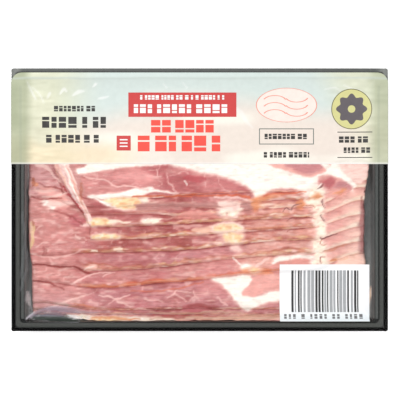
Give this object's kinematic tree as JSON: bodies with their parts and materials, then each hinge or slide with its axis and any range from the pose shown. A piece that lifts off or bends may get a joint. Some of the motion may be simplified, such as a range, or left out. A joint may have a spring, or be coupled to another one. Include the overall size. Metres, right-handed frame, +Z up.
{
  "type": "bacon pack",
  "caption": "Sealed retail tray of shingled streaky bacon rashers under a clear lid film, with a printed band and a barcode label, lying flat.",
  "frame": {"origin": "centre of the tray's underside, on the surface that the pack lies on", "axes": "+X along the rashers to the label's right, +Y across them towards the printed band, +Z up through the lid film"},
  "size_m": [0.24, 0.1676, 0.0132],
  "materials": {
    "tray_plastic": "black formed plastic sheet, satin to glossy, with a flat grey sealing land",
    "bacon": "moist cured pork, mauve pink lean with cream fat seams and orange brown smoked edges",
    "clear_film": "clear glossy lid film with shallow ripples",
    "printed_film": "film printed in a milky cream, faintly wrinkled, with red and grey shapes",
    "white_print": "white printed patch with grey bars"
  },
  "bodies": {
    "root": {"tray": "tray_plastic", "rasher_01": "bacon", "rasher_02": "bacon", "rasher_03": "bacon", "rasher_04": "bacon", "rasher_05": "bacon", "rasher_06": "bacon", "rasher_07": "bacon", "rasher_08": "bacon", "rasher_09": "bacon", "rasher_10": "bacon", "rasher_11": "bacon", "lid_film": "clear_film", "printed_band": "printed_film", "barcode_label": "white_print"}
  },
  "joints": []
}
